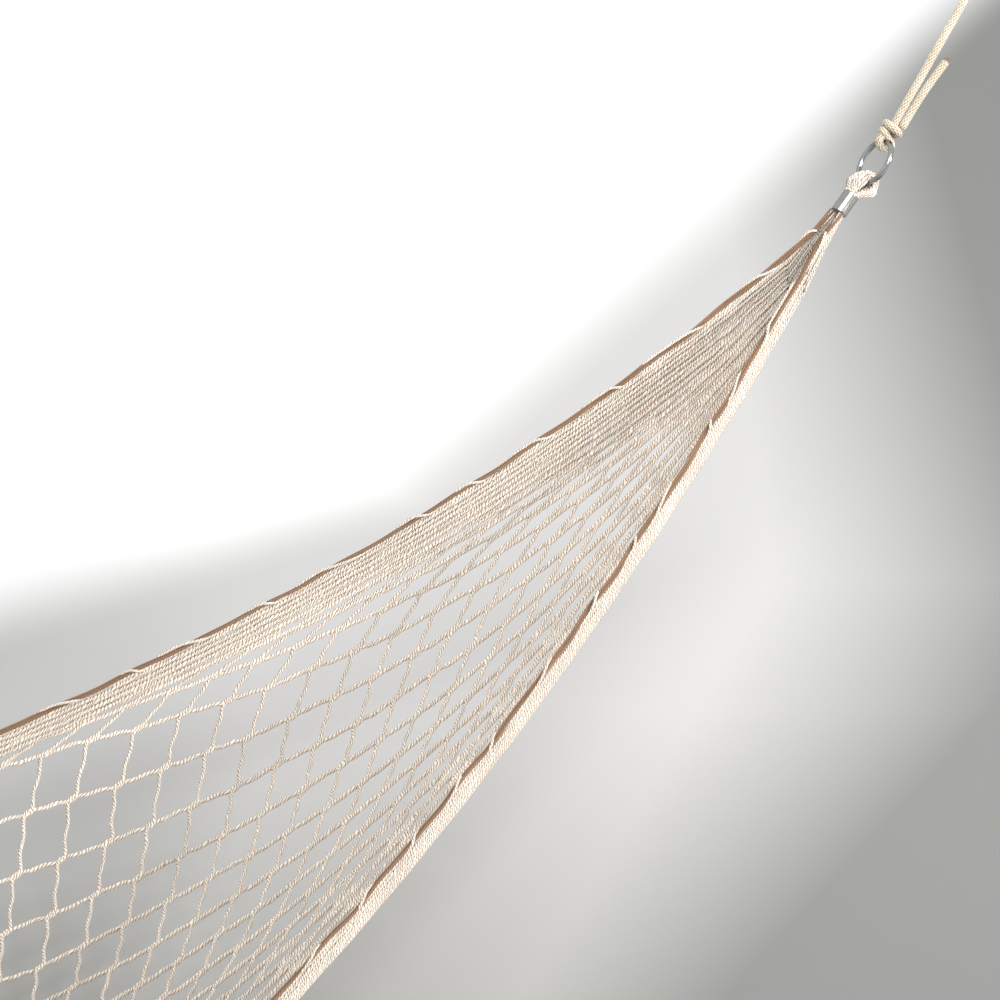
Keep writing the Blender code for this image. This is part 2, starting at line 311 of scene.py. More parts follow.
def ramp(tree, factor, stops):
    """A colour ramp; stops are (position, colour)."""
    made = node(tree, "ShaderNodeValToRGB")
    elements = made.color_ramp.elements
    for element, (position, colour) in zip(elements, stops[:2]):
        element.position = position
        element.color = (*colour, 1)
    for position, colour in stops[2:]:
        elements.new(position).color = (*colour, 1)
    tree.links.new(factor, made.inputs["Fac"])
    return made.outputs["Color"]


def mix(tree, factor, first, second, blend="MIX"):
    made = node(tree, "ShaderNodeMix", data_type="RGBA", blend_type=blend)
    for socket, value in zip((made.inputs[0], made.inputs[6], made.inputs[7]), (factor, first, second)):
        if isinstance(value, (int, float)):
            socket.default_value = value
        elif isinstance(value, tuple):
            socket.default_value = (*value, 1)
        else:
            tree.links.new(value, socket)
    return made.outputs[2]


def noise(tree, scale, detail=3.0):
    made = node(tree, "ShaderNodeTexNoise")
    made.inputs["Scale"].default_value = scale
    made.inputs["Detail"].default_value = detail
    place = node(tree, "ShaderNodeTexCoord")
    tree.links.new(place.outputs["Object"], made.inputs["Vector"])
    return made.outputs["Fac"]


def bump(tree, height, shader, distance, strength=1.0):
    made = node(tree, "ShaderNodeBump")
    made.inputs["Distance"].default_value = distance
    made.inputs["Strength"].default_value = strength
    tree.links.new(height, made.inputs["Height"])
    tree.links.new(made.outputs["Normal"], shader.inputs["Normal"])


def cord_map(tree):
    """A cord's own map: u once round it, and v along it in metres."""
    place = node(tree, "ShaderNodeUVMap", uv_map="cord")
    parts = node(tree, "ShaderNodeSeparateXYZ")
    tree.links.new(place.outputs[0], parts.inputs[0])
    return parts.outputs[0], parts.outputs[1]


def humps(tree, phase):
    return math(tree, "ABSOLUTE", math(tree, "SINE", phase))


def between(tree, share, low, high):
    """The share, from 0 to 1, brought between low and high."""
    return math(tree, "ADD", math(tree, "MULTIPLY", share, high - low), low)


def braid_height(tree, strands, pitch):
    """How high the cover of a braided cord stands."""
    u, v = cord_map(tree)
    around = math(tree, "MULTIPLY", u, strands * 2 * pi)
    along = math(tree, "MULTIPLY", v, 2 * pi / pitch)
    right = humps(tree, math(tree, "ADD", around, along))
    left = humps(tree, math(tree, "SUBTRACT", around, along))
    return math(tree, "MULTIPLY", right, left)


def twist_height(tree, strands, pitch):
    """How high the strands of a loosely twisted cord stand."""
    u, v = cord_map(tree)
    around = math(tree, "MULTIPLY", u, strands * pi)
    along = math(tree, "MULTIPLY", v, strands * pi / pitch)
    uneven = math(tree, "MULTIPLY", noise(tree, 130, 2), 9.0)
    return humps(tree, math(tree, "ADD", math(tree, "ADD", around, along), uneven))


def cord_material(name, dark, light, strands, pitch, depth):
    """A twisted cord: painted shade in its grooves, its own light colour on its strands, and no two cords
    quite the same.
    """
    material, tree, shader = new_material(name, 0.78)
    height = twist_height(tree, strands, pitch)
    # painted shade: the dark colour goes where the twist's grooves lie low, the light one on the strands
    painted_groove_shade = ramp(tree, height, [(0.1, dark), (0.8, light)])
    tint = node(tree, "ShaderNodeAttribute", attribute_name="tint")
    cord_level = between(tree, tint.outputs["Fac"], 0.86, 1.0)
    patch_level = between(tree, noise(tree, 14), 0.85, 1.15)
    level = math(tree, "MULTIPLY", cord_level, patch_level)
    gray = node(tree, "ShaderNodeCombineColor")
    for socket in gray.inputs[:3]:
        tree.links.new(level, socket)
    colour = mix(tree, 1.0, painted_groove_shade, gray.outputs[0], "MULTIPLY")
    tree.links.new(colour, shader.inputs["Base Color"])
    fuzz = noise(tree, 2600, 2)
    bump(tree, math(tree, "ADD", height, math(tree, "MULTIPLY", fuzz, 0.6)), shader, depth)
    shader.inputs["Sheen Weight"].default_value = 0.08
    return material


def rope_material():
    """The 6 mm rope: the same braid as its mesh, with painted shade in its grooves and fine yarn across each
    strand.
    """
    material, tree, shader = new_material("rope_braid", 0.8)
    relief = node(tree, "ShaderNodeAttribute", attribute_name="relief")
    lifted = math(tree, "ADD", math(tree, "MULTIPLY", relief.outputs["Fac"], 9), 0.6)  # from 0.1 to 0.9
    # painted shade: dark brown where the braid lies low, the rope's own cream on its strands
    stops = [(0.05, (0.44, 0.32, 0.20)), (0.4, (0.88, 0.79, 0.63)), (0.9, (0.97, 0.92, 0.81))]
    painted_groove_shade = ramp(tree, lifted, stops)
    worn = ramp(tree, noise(tree, 60), [(0.3, (0.82, 0.78, 0.72)), (0.7, (1.0, 1.0, 1.0))])
    colour = mix(tree, 1.0, painted_groove_shade, worn, "MULTIPLY")
    tip = node(tree, "ShaderNodeAttribute", attribute_name="melted")
    tree.links.new(mix(tree, tip.outputs["Fac"], colour, (0.16, 0.075, 0.035)), shader.inputs["Base Color"])
    yarn = math(tree, "ADD", braid_height(tree, 24, 0.012), math(tree, "MULTIPLY", noise(tree, 2200, 2), 0.8))
    bump(tree, yarn, shader, 0.00025)
    shader.inputs["Sheen Weight"].default_value = 0.3
    return material


def selvedge_material():
    material, tree, shader = new_material("selvedge_cord", 0.75)
    height = braid_height(tree, 3, 0.0052)
    # painted shade: the brown cord darkened almost to black where its braid's grooves lie low
    painted_groove_shade = ramp(tree, height, [(0.0, (0.10, 0.05, 0.025)), (0.6, (0.42, 0.25, 0.145))])
    patches = ramp(tree, noise(tree, 30), [(0.3, (0.78, 0.76, 0.74)), (0.7, (1.0, 1.0, 1.0))])
    tree.links.new(mix(tree, 1.0, painted_groove_shade, patches, "MULTIPLY"), shader.inputs["Base Color"])
    bump(tree, math(tree, "ADD", height, math(tree, "MULTIPLY", noise(tree, 2400, 2), 0.5)), shader, 0.0004)
    return material


def metal_material(name, colour, roughness, wear):
    """Metal with fine rubbing marks and slightly uneven polish."""
    material, tree, shader = new_material(name, roughness, 1.0)
    rubbed = ramp(tree, noise(tree, 90), [(0.35, tuple(0.86 * c for c in colour)), (0.65, colour)])
    tree.links.new(rubbed, shader.inputs["Base Color"])
    fine = noise(tree, 900, 6)
    rough = between(tree, fine, roughness - wear / 2, roughness + wear / 2)
    tree.links.new(rough, shader.inputs["Roughness"])
    bump(tree, fine, shader, 0.00004, 0.5)
    return material


# The bed's surface


def rim_half_width(away):
    spread = RIM_SPREAD * away * (1 - (away / HALF_BED) ** RIM_ROUNDING / (RIM_ROUNDING + 1))
    return sqrt(MOUTH_HALF_WIDTH**2 + spread**2)


def rim_height(away):
    return -RIM_SAG * (1 - max(1 - away / HALF_BED, 0) ** RIM_SAG_POWER)


def belly_depth(away):
    return MOUTH_DEPTH + BELLY_DEPTH * sin(pi / 2 * min(away / HALF_BED, 1)) ** BELLY_POWER


def bed_point(along, across, above):
    """A point of the cross-section at this distance along the bed from the right mouth."""
    side = 1 if along <= HALF_BED else -1
    away = along if side > 0 else 2 * HALF_BED - along
    away = max(away, 0)
    turn = radians(SLEEVE_SLOPE) * max(0, 1 - away / MOUTH_TURN_LENGTH) ** 2
    foot = MOUTH + np.array([-away, across, rim_height(away)])
    return mirrored(foot + np.array([-sin(turn), 0, cos(turn)]) * above, side)


def to_mouth(along):
    return max(min(along, 2 * HALF_BED - along), 0)


class Section:
    """The bed's cross-section at one place, measured by arc from the near rim to the far one."""

    steps = 90
    turns = np.linspace(-pi / 2, pi / 2, steps + 1)

    def __init__(self, along):
        away = to_mouth(along)
        self.along = along
        self.half_width = rim_half_width(away)
        self.depth = belly_depth(away)
        across = self.half_width * np.sin(self.turns)
        above = -self.depth * np.cos(self.turns)
        chords = np.hypot(np.diff(across), np.diff(above))
        self.arc = np.concatenate([[0], np.cumsum(chords)])

    def column_arc(self, column):
        """Where a column of the net lies: the cells are closed at both rims and open between them."""
        whole = self.arc[-1]
        closed = min(CLOSED_CELL, whole / CELLS)
        return closed * column + (whole - CELLS * closed) * open_share(column, to_mouth(self.along))

    def point(self, arc, inward):
        """The point at this arc, moved in from the surface."""
        arc = min(max(arc, 0), self.arc[-1])
        turn = np.interp(arc, self.arc, self.turns)
        normal = np.array([self.depth * sin(turn), -self.half_width * cos(turn)])
        normal /= np.linalg.norm(normal)
        across = self.half_width * sin(turn) - normal[0] * inward
        above = -self.depth * cos(turn) - normal[1] * inward
        return bed_point(self.along, across, above)


def smoothstep(t):
    t = np.clip(t, 0, 1)
    return t * t * (3 - 2 * t)


COLUMN_STEPS = 10  # in each cell
COLUMNS = np.linspace(0, CELLS, COLUMN_STEPS * CELLS + 1)

# Counted in cells from the far rim; a pair holds the values at a mouth and at the bed's middle
FRONT_AT_MIDDLE = 0.4  # where the net starts to stand open
FRONT_ADVANCE = 13.1  # how much further that is at a mouth
FRONT_ROUNDING = 0.08
RISE_WIDTHS = (2.0, -0.7)
LEAST_RISE = 0.2
HALF_CLOSED = (-2.8, 2.9)  # past the front, where it is half closed again
FALL_WIDTHS = (3.5, 4.9)
STEEPEST = 30


def openness(away):
    """How far each column's cell stands open, from 0 to 1: first near the far rim, then less and less."""
    share = away / HALF_BED
    front = FRONT_AT_MIDDLE + FRONT_ADVANCE * np.hypot(1 - share, FRONT_ROUNDING)
    rise = max(np.interp(share, (0, 1), RISE_WIDTHS), LEAST_RISE)
    half_closed = front + np.interp(share, (0, 1), HALF_CLOSED)
    fall = np.interp(share, (0, 1), FALL_WIDTHS)
    from_far_rim = CELLS - COLUMNS
    opening = 1 / (1 + np.exp(np.clip((front - from_far_rim) / rise, -STEEPEST, STEEPEST)))
    return opening / (1 + np.exp((from_far_rim - half_closed) / fall))


OPEN_STEPS = 400
OPENNESS = np.array([openness(away) for away in np.linspace(0, HALF_BED, OPEN_STEPS + 1)])
OPEN_SHARE = np.cumsum(OPENNESS, axis=1) - OPENNESS / 2 - OPENNESS[:, :1] / 2
OPEN_SHARE /= OPEN_SHARE[:, -1:]


def at_column(table, column, away):
    """A table's value at a column, at this distance from the nearer mouth."""
    step = min(max(away / HALF_BED, 0), 1) * OPEN_STEPS
    low = min(int(step), OPEN_STEPS - 1)
    values = [float(np.interp(column, COLUMNS, table[row])) for row in (low, low + 1)]
    return values[0] + (values[1] - values[0]) * (step - low)


def open_share(column, away):
    return at_column(OPEN_SHARE, column, away)


def row_place(row):
    """Distance of a row of junctions from the right mouth."""
    return FIRST_ROW + 2 * (HALF_BED - FIRST_ROW) * row / ROWS


# The net: every cord runs zigzag between two half columns, joined to a neighbour at each row


def column_of(number, row):
    """The column at which this cord is joined to a neighbour at this row."""
    return (number + (number + row) % 2) / 2


def direction(number, row):
    """1 where the cord heads for the far rim on its way to the next row, and -1 where it comes back."""
    return 1 if (number + row) % 2 == 0 else -1


ROUGH_WANDER = 0.6
SMOOTH_WANDER = 1.1
WANDER_ALONG = 0.0019
WANDER_ACROSS = 0.0017
WANDER_START = 0.3  # the distance from a mouth over which the net grows uneven
CLOSED_WANDER = 0.2  # the share of its unevenness that a closed cell keeps


def wander_field():
    """Small smooth differences from the even net, for each row and half column: (along, across)."""
    raw = random.normal(0, 1, (ROWS + 1, 2 * CELLS + 1, 2))
    soft = raw
    for axis in (0, 1):
        soft = 0.5 * soft + 0.25 * (np.roll(soft, 1, axis) + np.roll(soft, -1, axis))
    return ROUGH_WANDER * raw + SMOOTH_WANDER * soft


WANDER = wander_field()


def junction_place(row, column):
    """A joint's place: its distance from the right mouth and its arc from the near rim."""
    along = row_place(row)
    away = to_mouth(along)
    open_here = at_column(OPENNESS, column, away) * smoothstep(away / WANDER_START)
    shift = WANDER[row, int(round(2 * column))]
    along += WANDER_ALONG * shift[0] * (CLOSED_WANDER + (1 - CLOSED_WANDER) * open_here)
    section = Section(along)
    return along, section.column_arc(column) + WANDER_ACROSS * shift[1] * open_here


def mouth_spot(number, depth, side):
    """Where a cord lies in the sleeve: most round the outside of the bundle and some in its middle."""
    turn = pi * (BUNDLE_START + BUNDLE_SWEEP * number / (2 * CELLS))
    ring = BUNDLE_RINGS[number % len(BUNDLE_RINGS)]
    spot = MOUTH + SLEEVE_AXIS * depth - Y * ring * cos(turn) - SLEEVE_UP * ring * sin(turn)
    return mirrored(spot, side)


BOWS = random.normal(0, BAR_BOW, (2 * CELLS, ROWS))
LASHING_DRIFTS = random.uniform(-LASHING_DRIFT, LASHING_DRIFT, (ROWS, 3))  # a column for each rim, -1 or 1


def layer_of(number, row):
    """How far in from the surface a cord lies: alternate cords lie over the others where they are crowded."""
    away = to_mouth(row_place(row))
    open_here = at_column(OPENNESS, column_of(number, row), away) * smoothstep(away / CLOSED_MOUTH)
    closed = 1 - smoothstep(open_here / CLOSED_BELOW)
    over = (OVER_IN_OPEN_NET + OVER_IN_CLOSED_NET * closed) * (-1) ** number
    crowded = 1 - smoothstep((away - CROWDED_AS_FAR_AS) / CROWD_FADE)
    return CORD_RADIUS * (MIDDLE_LAYER + over + CROWDED_LAYER * crowded * (number % 3))


def beside_joint(number, row):
    """How far a cord lies to its own side of the joint with its neighbour."""
    spread = Section(row_place(row)).arc[-1] / CELLS
    return direction(number, row) * min(JOINT_SIDE, CLOSED_CELL / 4, spread / 4)


def joint_lean(column, along):
    """How far a joint leans across the bed over half its length, in line with the bars through it."""
    section = Section(along)
    across = section.column_arc(min(column + 0.5, CELLS)) - section.column_arc(max(column - 0.5, 0))
    closed = min(CLOSED_CELL, section.arc[-1] / CELLS)
    return LEAN * max(across - closed, 0) / 2 * JUNCTION / 2 / (row_place(1) - row_place(0))


def row_knots(number, row):
    """A cord's points at a row, where it runs beside its neighbour, and on the bar to the next row."""
    layer = layer_of(number, row)
    column = column_of(number, row)
    along, arc = junction_place(row, column)
    off_column = arc + beside_joint(number, row) - Section(along).column_arc(column)
    lean = joint_lean(column, along)
    knots = []
    for way in (-1, 0, 1):
        section = Section(along + way * JUNCTION / 2)
        knots.append(section.point(section.column_arc(column) + off_column + lean * way, layer))
    return knots + bar_knots(number, row, layer)


def bar_knots(number, row, layer):
    """Two points on the bar that leads to the next row."""
    if row == ROWS - 1:
        return []
    along, arc = junction_place(row, column_of(number, row))
    along_after, arc_after = junction_place(row + 1, column_of(number, row + 1))
    arc += beside_joint(number, row)
    arc_after += beside_joint(number, row + 1)
    bow = BOWS[number, row]
    knots = []
    for share in BAR_SHARES:
        place = along + (along_after - along) * share
        reach = arc + (arc_after - arc) * share + bow
        knots.append(Section(place).point(reach, layer))
    return knots


def selvedge_centre(along, way):
    """The middle of a rim's two brown cords: just above the net's edge and a little inside it."""
    half_width = rim_half_width(to_mouth(along))
    inset = min(0.002, 0.3 * half_width)
    return bed_point(along, way * (half_width - inset), SELVEDGE_RADIUS + GAP)


def lashing(way):
    """The cord that ties the net's edge to the selvedge, and goes over it once in each turn."""
    steps = LASHING_STEPS * int(2 * HALF_BED / LASHING_TURN)
    stops = np.linspace(LASHING_INSET, 2 * HALF_BED - LASHING_INSET, steps)
    rows = np.linspace(0, 2 * HALF_BED, ROWS)
    turns = stops / LASHING_TURN + np.interp(stops, rows, LASHING_DRIFTS[:, way])
    part = turns % 1
    steady, quick = 0.6, 0.4  # the turn's share made evenly, and the share made as the cord goes over
    turned = np.floor(turns) + steady * part + quick * smoothstep((part - 0.2) / 0.6)
    angle = 2 * pi * turned + LASHING_START
    reach = SELVEDGE_RADIUS + 0.35 * LASHING_RADIUS
    centre = np.array([selvedge_centre(along, way) for along in stops])
    inward = -Y * way * np.cos(angle)[:, None]
    return centre + reach * (inward + Z * np.sin(angle)[:, None])


def net_cord_route(number):
    """A cord's knots from the right sleeve to the left one, and its radius at each."""
    path = [mouth_spot(number, depth, 1) for depth in BUNDLE_DEPTHS]
    wide = [CORD_RADIUS] * len(path)
    for row in range(1, ROWS):
        path += row_knots(number, row)
        bar_radius = RISING_RADIUS if direction(number, row) > 0 else FALLING_RADIUS
        wide += [CORD_RADIUS] * 3 + [bar_radius] * 2
    path += [mouth_spot(number, depth, -1) for depth in BUNDLE_DEPTHS[::-1]]
    wide[-2:] = [CORD_RADIUS] * 2
    return path, wide


def build_net(material):
    """The knitted net, one tube for each of its cords, and the lashings along both rims."""
    routes = [net_cord_route(number) for number in range(2 * CELLS)]
    paths = smooth_path([path for path, wide in routes], 3)
    from_right = np.abs(paths[..., 0] - MOUTH[0])
    from_left = np.abs(paths[..., 0] - (2 * MIDDLE - MOUTH[0]))
    away = np.minimum(from_right, from_left)
    knots = np.arange(len(routes[0][0]))
    fine = np.linspace(0, knots[-1], paths.shape[1])
    radius = np.array([np.interp(fine, knots, wide) for path, wide in routes])
    radius *= MOUTH_THINNING + (1 - MOUTH_THINNING) * smoothstep(away / THINNING_LENGTH)
    net = tubes("net", paths, radius[..., None], 8, material)
    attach(net, "hammock")
    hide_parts("net_bed")
    lashings = tubes("net_lashings", [lashing(-1), lashing(1)], LASHING_RADIUS, 8, material)
    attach(lashings, "hammock")


def build_selvedge(name, way, material):
    """Two brown cords side by side, threaded along the edge of the net."""
    half_length = HALF_BED - 0.0006
    stops = HALF_BED + half_length * np.sin(np.linspace(-pi / 2, pi / 2, 260))
    centre = np.array([selvedge_centre(along, way) for along in stops])
    sway = sum(size * np.sin(stops / half * pi + phase * way) for size, half, phase in SELVEDGE_WAVES)
    roll = SELVEDGE_ROLL * np.sin(stops * SELVEDGE_ROLL_RATE + way)
    paths = []
    for strand in (-STRAND_OFFSET, STRAND_OFFSET):
        sideways = Y * (strand * np.cos(roll) + sway)[:, None]
        upward = Z * (strand * np.sin(roll))[:, None]
        paths.append(centre + sideways + upward)
    selvedge = tubes(f"selvedge_cords_{name}", smooth_path(paths, 3), SELVEDGE_STRAND, 10, material)
    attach(selvedge, "hammock")
    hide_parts(f"selvedge_{name}")


# Ring, sleeve and eye


def build_ring(name, side, material):
    """The steel ring, a little thicker at its weld and thinner on either side of it."""
    steps, sides = 160, 24
    turns = np.linspace(0, 2 * pi, steps, endpoint=False)
    outward = RING_AXIS * np.cos(turns)[:, None] + RING_ACROSS * np.sin(turns)[:, None]
    centre = RING_CENTRE + outward * RING_RADIUS
    angles = np.linspace(0, 2 * pi, sides, endpoint=False)
    weld_turn = 1.9
    from_weld = np.abs((turns - weld_turn + pi) % (2 * pi) - pi)
    bead = 0.045 * np.exp(-((from_weld / 0.05) ** 2))
    ground = 0.02 * np.exp(-((from_weld / 0.11) ** 2))
    wide = RING_WIRE * (1 + bead - ground)
    profile = outward[:, None] * np.cos(angles)[:, None] + RING_NORMAL * np.sin(angles)[:, None]
    points = mirrored((centre[:, None] + profile * wide[:, None, None]).reshape(-1, 3), side)
    index = np.arange(steps * sides).reshape(steps, sides)
    after = np.roll(index, -1, 0)
    quads = np.stack([index, after, np.roll(after, -1, 1), np.roll(index, -1, 1)], -1).reshape(-1, 4)
    ring = mesh_object(f"steel_ring_{name}", points, [quads if side < 0 else quads[:, ::-1]], material)
    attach(ring, f"ring_{name}")
    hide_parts(f"ring_{name}")


def sleeve_outline():
    """The closed outline of the sleeve's wall, with rolled lips, as (height, radius)."""
    lip = (SLEEVE_RADIUS - SLEEVE_BORE) / 2
    lips = []
    for centre_height, start in ((SLEEVE_LENGTH - lip, 0), (lip, pi)):
        turns = np.linspace(start, start + pi, 7)
        rim = []
        for turn in turns:
            rim.append((centre_height + lip * sin(turn), SLEEVE_BORE + lip + lip * cos(turn)))
        lips.append(rim)
    low, high = 2 * lip, SLEEVE_LENGTH - 2 * lip
    inner = [(height, SLEEVE_BORE) for height in np.linspace(high, low, 8)]
    outer = [(height, SLEEVE_RADIUS) for height in np.linspace(low, high, 24)]
    return lips[0] + inner + lips[1] + outer


def pressed(heights, turns):
    """The crimp's mark: a shallow waist at the sleeve's middle, and the whole a little out of round."""
    waist = np.exp(-(((heights - SLEEVE_LENGTH / 2) / 0.005) ** 2))
    return 1 - 0.012 * waist * (1 + 0.5 * np.cos(3 * turns)) + 0.006 * np.cos(2 * turns + 0.6)


def build_sleeve(name, side, material):
    outline = sleeve_outline()
    sleeve = lathe(f"metal_sleeve_{name}", side, MOUTH, SLEEVE_AXIS, outline, 72, material, pressed)
    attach(sleeve, "hammock")
    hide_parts(f"sleeve_{name}")


LOBES = unit(RING_NORMAL - SLEEVE_AXIS * (RING_NORMAL @ SLEEVE_AXIS))
ALONG_WIRE = np.cross(SLEEVE_AXIS, LOBES)
CONTACT = RING_CENTRE - unit(SLEEVE_AXIS - RING_NORMAL * (RING_NORMAL @ SLEEVE_AXIS)) * RING_RADIUS
CONTACT_HEIGHT = (CONTACT - MOUTH) @ SLEEVE_AXIS
CONTACT_LEAN = CONTACT - MOUTH - SLEEVE_AXIS * CONTACT_HEIGHT
EYE_CORD = 0.00118
EYE_HALF_WIDTH = 0.0076  # along the ring's wire
EYE_LAYERS = (6, 7, 7)  # cords in each layer
BROWN_ENDS = ((1.4, -1.1), (0.9, -1.16))  # layer and place of each
BROWN_RADIUS = 0.0010
EYE_WOBBLE = 0.00035


def eye_loop(layer, place):
    """A cord out of the sleeve, over the ring's wire and back in, at a place from -1 to 1 along the wire."""
    radius = RING_WIRE + EYE_CORD * (1.15 + 1.75 * layer)
    aside = ALONG_WIRE * place * EYE_HALF_WIDTH
    gathered = ALONG_WIRE * place * 0.0030
    spread = 0.0012 * layer
    wobble = random.normal(0, EYE_WOBBLE, (9, 3))
    halves = []
    for way in (LOBES, -LOBES):
        foot = SLEEVE_AXIS * 0.008 + way * (0.0008 + spread) + gathered
        throat = SLEEVE_AXIS * (SLEEVE_LENGTH + 0.0006) + way * (0.0010 + spread) + gathered * 3.4 / 3
        shoulder = SLEEVE_AXIS * (CONTACT_HEIGHT - 0.005) + CONTACT_LEAN * 0.75 + way * (radius + 0.0006)
        shoulder += aside * 1.06
        halves.append([MOUTH + foot, MOUTH + throat, MOUTH + shoulder, CONTACT + way * radius + aside])
    crown = []
    for turn in (0.25 * pi, 0.5 * pi, 0.75 * pi):
        crown.append(CONTACT + aside * 0.92 + radius * (LOBES * cos(turn) + SLEEVE_AXIS * sin(turn)))
    path = np.array(halves[0] + crown + halves[1][::-1])
    path[2:9] += wobble[:7]
    return path


def build_eye(name, side, white, brown):
    """The net's end cords looped over the ring, in layers, and the selvedges' ends beside them."""
    loops = []
    for layer, count in enumerate(EYE_LAYERS):
        for i in range(count):
            place = (2 * (i + 0.5) / count - 1) + random.normal(0, 0.02)
            loops.append(eye_loop(layer, place))
    paths = smooth_path([mirrored(loop, side) for loop in loops], 6)
    eye = tubes(f"eye_cords_{name}", paths, EYE_CORD, 10, white)
    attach(eye, "hammock")
    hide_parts(f"eye_{name}")
    ends = [eye_loop(layer, place) for layer, place in BROWN_ENDS]
    paths = smooth_path([mirrored(loop, side) for loop in ends], 6)
    strands = tubes(f"eye_selvedges_{name}", paths, BROWN_RADIUS, 10, brown)
    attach(strands, "hammock")


# Rope


BRAID_STRANDS = 8  # each way
BRAID_PITCH = 0.034
BRAID_DEPTH = 0.3
BRAID_LEVEL = 0.9


def braid_relief(along, turns):
    """A round braid: how far each point stands out, as a share of the rope's radius."""
    turn = BRAID_STRANDS * turns / 2
    climb = pi * BRAID_STRANDS * along / BRAID_PITCH
    right = np.abs(np.sin(turn + climb))
    left = np.abs(np.sin(turn - climb))
    return BRAID_DEPTH * (np.maximum(right, left) - BRAID_LEVEL)


# Where the knots start and end, as in the solid model
KNOT_REACH = 0.98 + 0.85  # in half lengths
RING_KNOT_HALF_LENGTH = 0.0080
LOOP_KNOT_HALF_LENGTH = 0.0085
RING_KNOT_BASE = RING_CENTRE + RING_AXIS * (RING_RADIUS + RING_WIRE + GAP)
KNOT_TOP = RING_KNOT_BASE + RING_AXIS * KNOT_REACH * RING_KNOT_HALF_LENGTH
PULL = unit(SADDLE - KNOT_TOP)
LOOP_LENGTH = 0.034
LOOP_RADIUS = 0.0069
LOOP_KNOT_LENGTH = KNOT_REACH * LOOP_KNOT_HALF_LENGTH
LOOP_FOOT = SADDLE - PULL * LOOP_LENGTH
TAIL_SIDE = np.array([0.42, -0.81, -0.41])
TAIL_LENGTH = 0.061
TAIL_BEND = 0.005
BESIDE = unit(TAIL_SIDE - PULL * (TAIL_SIDE @ PULL))
COIL_RADIUS = 0.0062
COIL_CLIMB = 0.0105
RING_COIL_TURNS = 1.62
RING_COIL_TOP = RING_KNOT_BASE + RING_AXIS * 0.0128
HOOK_COIL_TURNS = 1.7
HOOK_COIL_TOP = LOOP_FOOT - PULL * 0.0025


def wraps(base, axis, start, turns, climb):
    """Points of a coil wound round an axis, from the direction start."""
    other = np.cross(axis, start)
    steps = int(turns * 10)
    points = []
    for share in np.arange(steps + 1) / steps:
        turn = 2 * pi * turns * share
        points.append(base + axis * climb * share + COIL_RADIUS * (start * cos(turn) + other * sin(turn)))
    return points


def ring_end():
    """The rope from its free end, through the knot at the ring and round the ring's wire."""
    tail_foot = KNOT_TOP + PULL * GAP + BESIDE * (2 * ROPE_RADIUS + GAP)
    shares = (1, 0.8, 0.6, 0.4, 0.2, 0.02)
    tail = [tail_foot + PULL * TAIL_LENGTH * t + BESIDE * TAIL_BEND * t * t for t in shares]
    start = unit(BESIDE - RING_AXIS * (BESIDE @ RING_AXIS))
    coil = wraps(RING_COIL_TOP, RING_AXIS, start, RING_COIL_TURNS, -COIL_CLIMB)
    top = RING_CENTRE + RING_AXIS * RING_RADIUS
    radius = RING_WIRE + ROPE_RADIUS + GAP
    turns = np.linspace(0, pi, 7)
    bight = [top - radius * (RING_NORMAL * cos(turn) + RING_AXIS * sin(turn)) for turn in turns]
    back_in = RING_KNOT_BASE + RING_NORMAL * 0.0035 + RING_AXIS * 0.004
    return tail + coil + bight + [back_in, RING_KNOT_BASE + RING_AXIS * 0.011, KNOT_TOP]


def hook_end():
    """The rope's loop round the hook, the knot that closes it and the free end beyond."""
    loop = [LOOP_FOOT - PULL * 0.006 + Y * 0.001, LOOP_FOOT + Y * 0.0034]
    for turn in np.linspace(0, pi, 9):
        loop.append(SADDLE + LOOP_RADIUS * (Y * cos(turn) + PULL * sin(turn)))
    loop.append(LOOP_FOOT - Y * 0.0036)
    knot = wraps(HOOK_COIL_TOP, -PULL, -Y, HOOK_COIL_TURNS, COIL_CLIMB)
    away = knot[-1] - LOOP_FOOT
    away = unit(away - PULL * (away @ PULL))
    hanging = ((0.006, 0.0004), (0.014, 0.002), (0.022, 0.004))
    end = [knot[-1] - PULL * down + away * out for down, out in hanging]
    return loop + knot + end


def rope_route():
    """The rope from its free end at the ring, through both knots, to its free end at the hook."""
    to_loop = LOOP_FOOT - PULL * LOOP_KNOT_LENGTH - KNOT_TOP
    straight = [KNOT_TOP + to_loop * t for t in np.linspace(0.08, 1, 12)]
    return np.array(ring_end() + straight + hook_end())


def build_rope(name, side, material):
    """One braided rope with rounded, melted ends."""
    sides = 32
    route = mirrored(smooth_path([rope_route()], 8)[0], side)
    path = even_path(route, 0.0008)
    along = np.concatenate([[0], np.cumsum(np.linalg.norm(np.diff(path, axis=0), axis=1))])
    to_end = np.minimum(along, along[-1] - along)
    rounding = np.sqrt(np.clip(to_end / 0.0022, 0.12, 1)) * (1 - 0.1 * np.exp(-to_end / 0.003))
    radius = (ROPE_RADIUS * rounding)[None, :, None]
    rope = tubes(f"hanging_rope_{name}", [path], radius, sides, material, relief=braid_relief, tint=0.5)
    melted = 1 - smoothstep((to_end - 0.0025) / 0.0015)
    attribute = rope.data.attributes.new("melted", "FLOAT", "POINT")
    attribute.data.foreach_set("value", np.repeat(melted, sides).astype(np.float32))
    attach(rope, "hammock")
    kinds = ("rope", "hang_loop", "loop_knot", "loop_tail", "ring_knot", "ring_bight", "ring_tail")
    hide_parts(*[f"{kind}_{name}" for kind in kinds])


# Hooks


